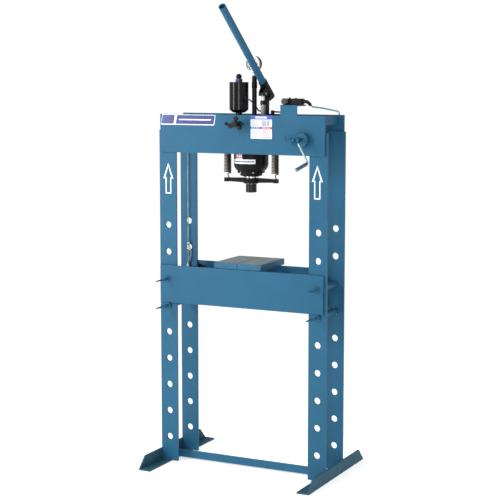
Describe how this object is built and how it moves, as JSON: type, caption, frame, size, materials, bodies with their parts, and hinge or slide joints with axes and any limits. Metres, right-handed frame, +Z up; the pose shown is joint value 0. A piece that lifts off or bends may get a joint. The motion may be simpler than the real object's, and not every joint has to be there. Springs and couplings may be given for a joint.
{
  "type": "hydro-pneumatic workshop press",
  "caption": "Floor-standing H-frame press with an air-hydraulic pump and hand lever above a sprung ram, and a pinned table raised by a cable winch.",
  "frame": {"origin": "on the floor, at the centre of the press's overall footprint", "axes": "+Z up and against the ram's stroke, +X to the operator's right, the operator stands on the -Y side"},
  "size_m": [0.7512, 0.6329, 1.8499],
  "materials": {
    "press_blue": "semi-gloss",
    "black_cast": "semi-gloss",
    "black_oxide": "oiled",
    "black_enamel": "gloss",
    "zinc_plate": "satin",
    "chrome": "polished",
    "seal_rubber": "matte",
    "hose_black": "satin",
    "hose_teal": "satin",
    "hose_blue": "satin",
    "fitting_black": "satin",
    "dial_white": "printed",
    "needle_black": "matte",
    "grip_blue": "satin",
    "cable_steel": "galvanised"
  },
  "bodies": {
    "press_frame": {"left_foot": "press_blue", "right_foot": "press_blue", "left_posts": "press_blue", "right_posts": "press_blue", "foot_crossbar": "press_blue", "head_front_plate": "press_blue", "head_rear_plate": "press_blue", "head_spacers": "press_blue", "cylinder_seat": "press_blue", "spring_hangers": "press_blue", "table_front_plate": "press_blue", "table_rear_plate": "press_blue", "table_ties": "press_blue", "cylinder_barrel": "black_enamel", "cylinder_gland": "black_cast", "socket_screws": "zinc_plate", "return_springs": "black_oxide", "manifold_block": "press_blue", "pump_barrel": "zinc_plate", "pump_gland_nut": "black_oxide", "pivot_lug": "black_cast", "air_motor": "black_enamel", "exhaust_silencer": "zinc_plate", "hose_fittings": "fitting_black", "gauge_post": "black_enamel", "gauge_case": "black_enamel", "gauge_dial": "dial_white", "valve_bracket": "press_blue", "air_valve": "black_enamel", "air_supply_hose": "hose_teal", "air_motor_line": "hose_blue", "pump_hose": "hose_black", "air_inlet": "zinc_plate", "winch_bearing": "press_blue", "pulley_bracket": "press_blue", "lift_cables": "cable_steel", "cable_anchors": "zinc_plate"},
    "ram": {"ram_piston": "chrome", "piston_seal": "seal_rubber", "spring_bar": "black_cast", "ram_tip": "black_oxide"},
    "lever": {"lever_socket": "black_cast", "lever_tube": "press_blue", "lever_bolts": "black_oxide"},
    "plunger": {"pump_plunger": "chrome"},
    "release_valve": {"release_knob": "fitting_black"},
    "winch": {"winch_shaft": "press_blue", "crank_arm": "zinc_plate"},
    "grip": {"crank_grip": "grip_blue"},
    "pawl": {"winch_pawl": "press_blue"},
    "left_pulley": {"left_pulley": "zinc_plate"},
    "upper_left_pin": {"upper_left_pin": "press_blue"},
    "lower_left_pin": {"lower_left_pin": "press_blue"},
    "upper_right_pin": {"upper_right_pin": "press_blue"},
    "lower_right_pin": {"lower_right_pin": "press_blue"},
    "left_press_block": {"left_press_block": "press_blue"},
    "right_press_block": {"right_press_block": "press_blue"},
    "valve_button": {"valve_button": "fitting_black"},
    "needle": {"gauge_needle": "needle_black"}
  },
  "joints": [
    {"name": "ram_slide", "type": "slide", "parent": "press_frame", "child": "ram", "axis": [0, 0, -1], "range_m": [0, 0.125], "stiffness_N_per_m": 2000, "springref_m": -0.06, "deforming": ["return_springs"]},
    {"name": "lever_pivot", "type": "hinge", "parent": "press_frame", "child": "lever", "pos_m": [0.046, 0.0771, 1.503], "axis": [1, 0, 0], "range_deg": [-7, 18]},
    {"name": "plunger_slide", "type": "slide", "parent": "press_frame", "child": "plunger", "axis": [0, 0, -1], "range_m": [-0.006, 0.0125]},
    {"name": "release_valve_turn", "type": "hinge", "parent": "press_frame", "child": "release_valve", "pos_m": [-0.002, -0.094, 1.3975], "axis": [0, 1, 0], "range_deg": [-270, 0]},
    {"name": "winch_turn", "type": "hinge", "parent": "press_frame", "child": "winch", "pos_m": [0.271, -0.063, 1.341], "axis": [0, 1, 0], "continuous": true},
    {"name": "grip_turn", "type": "hinge", "parent": "winch", "child": "grip", "pos_m": [0.3175, -0.14378, 1.25413], "axis": [0, -0.9833, -0.1822], "continuous": true},
    {"name": "pawl_lift", "type": "hinge", "parent": "press_frame", "child": "pawl", "pos_m": [0.228, -0.089, 1.333], "axis": [0, -1, 0], "range_deg": [0, 20], "stiffness_Nm_per_rad": 0.02, "springref_deg": -17.19},
    {"name": "left_pulley_turn", "type": "hinge", "parent": "press_frame", "child": "left_pulley", "pos_m": [-0.31, 0.1011, 1.3394], "axis": [0, 1, 0], "continuous": true},
    {"name": "upper_left_pin_slide", "type": "slide", "parent": "press_frame", "child": "upper_left_pin", "axis": [0, -1, 0], "range_m": [0, 0.23]},
    {"name": "upper_right_pin_slide", "type": "slide", "parent": "press_frame", "child": "upper_right_pin", "axis": [0, -1, 0], "range_m": [0, 0.23]},
    {"name": "lower_left_pin_slide", "type": "slide", "parent": "press_frame", "child": "lower_left_pin", "axis": [0, -1, 0], "range_m": [0, 0.23]},
    {"name": "lower_right_pin_slide", "type": "slide", "parent": "press_frame", "child": "lower_right_pin", "axis": [0, -1, 0], "range_m": [0, 0.23]},
    {"name": "left_press_block_lift", "type": "slide", "parent": "press_frame", "child": "left_press_block", "axis": [0, 0, 1], "range_m": [0, 0.12]},
    {"name": "right_press_block_lift", "type": "slide", "parent": "press_frame", "child": "right_press_block", "axis": [0, 0, 1], "range_m": [0, 0.12]},
    {"name": "valve_button_press", "type": "slide", "parent": "press_frame", "child": "valve_button", "axis": [0, 1, 0], "range_m": [0, 0.005], "stiffness_N_per_m": 600, "springref_m": -0.003},
    {"name": "needle_turn", "type": "hinge", "parent": "press_frame", "child": "needle", "pos_m": [0.008, 0.0235, 1.63], "axis": [0, 1, 0], "range_deg": [0, 270], "stiffness_Nm_per_rad": 0.001, "springref_deg": -17.19}
  ],
  "couplings": [
    {"joint": "plunger_slide", "follows": "lever_pivot", "m_per_rad": 0.038},
    {"joint": "left_pulley_turn", "follows": "winch_turn", "ratio": 0.92118}
  ]
}
